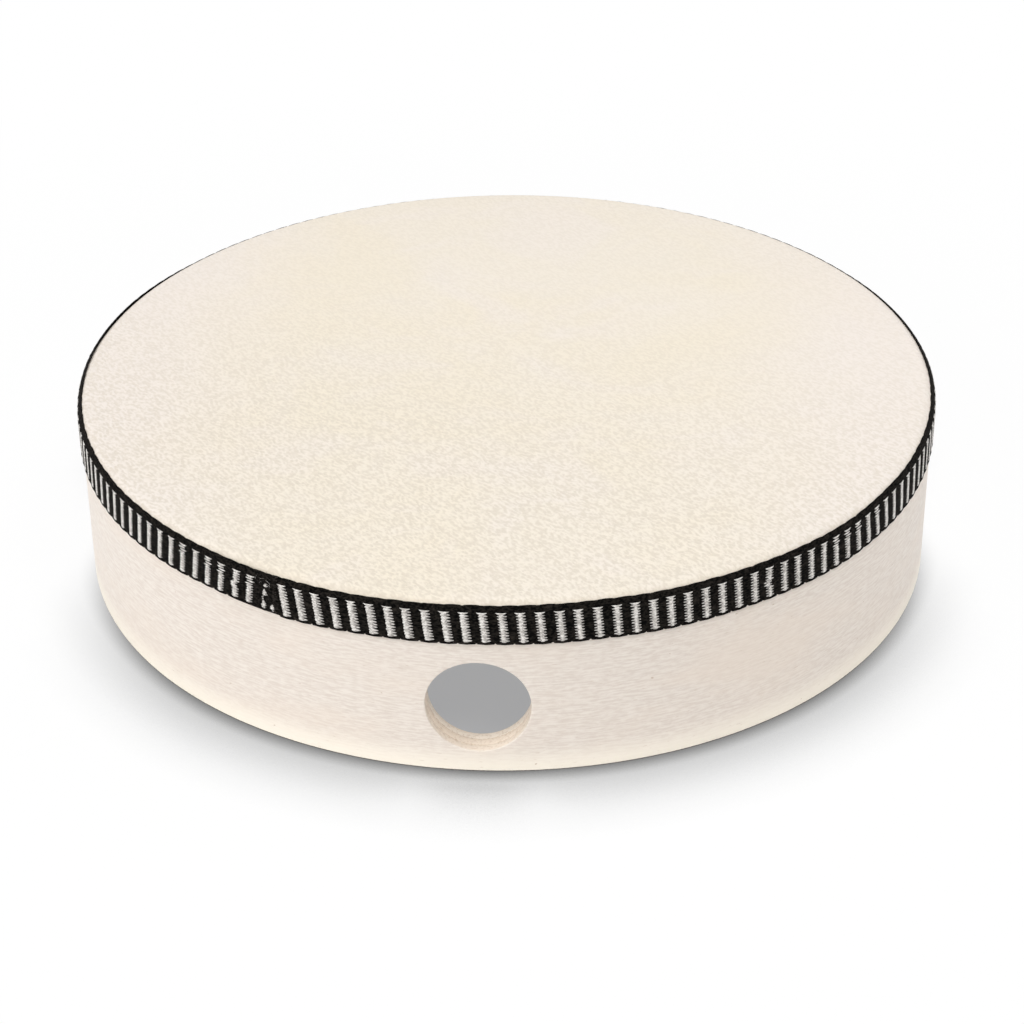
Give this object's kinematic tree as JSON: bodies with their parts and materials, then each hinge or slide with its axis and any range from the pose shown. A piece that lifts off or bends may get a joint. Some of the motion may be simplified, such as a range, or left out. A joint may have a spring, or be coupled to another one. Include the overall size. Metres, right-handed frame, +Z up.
{
  "type": "hand drum",
  "caption": "Round single-headed hand drum: bent plywood shell with a thumb hole, rawhide head glued and stapled over its edge, and a woven striped trim tape over the fastening.",
  "frame": {"origin": "centre of the lower rim, on the surface that the drum stands on", "axes": "+Z up along the drum's axis to the head, -Y out through the thumb hole"},
  "size_m": [0.2016, 0.2016, 0.0428],
  "materials": {
    "face_veneer": "pale sanded veneer, unvarnished, fine grain running round the shell",
    "core_veneer": "pale sanded veneer, a little darker, with dark glue lines between the plies",
    "rawhide": "scraped rawhide, matt cream with pale and pinkish mottling and a fine pebbled grain",
    "woven_tape": "black woven tape with raised white bars across it",
    "staple_wire": "plain flattened wire"
  },
  "bodies": {
    "root": {"outer_ply": "face_veneer", "core_ply": "core_veneer", "inner_ply": "core_veneer", "drum_head": "rawhide", "trim_tape": "woven_tape", "staple_01": "staple_wire", "staple_02": "staple_wire", "staple_03": "staple_wire", "staple_04": "staple_wire", "staple_05": "staple_wire", "staple_06": "staple_wire", "staple_07": "staple_wire", "staple_08": "staple_wire", "staple_09": "staple_wire", "staple_10": "staple_wire", "staple_11": "staple_wire", "staple_12": "staple_wire", "staple_13": "staple_wire", "staple_14": "staple_wire", "staple_15": "staple_wire", "staple_16": "staple_wire"}
  },
  "joints": []
}
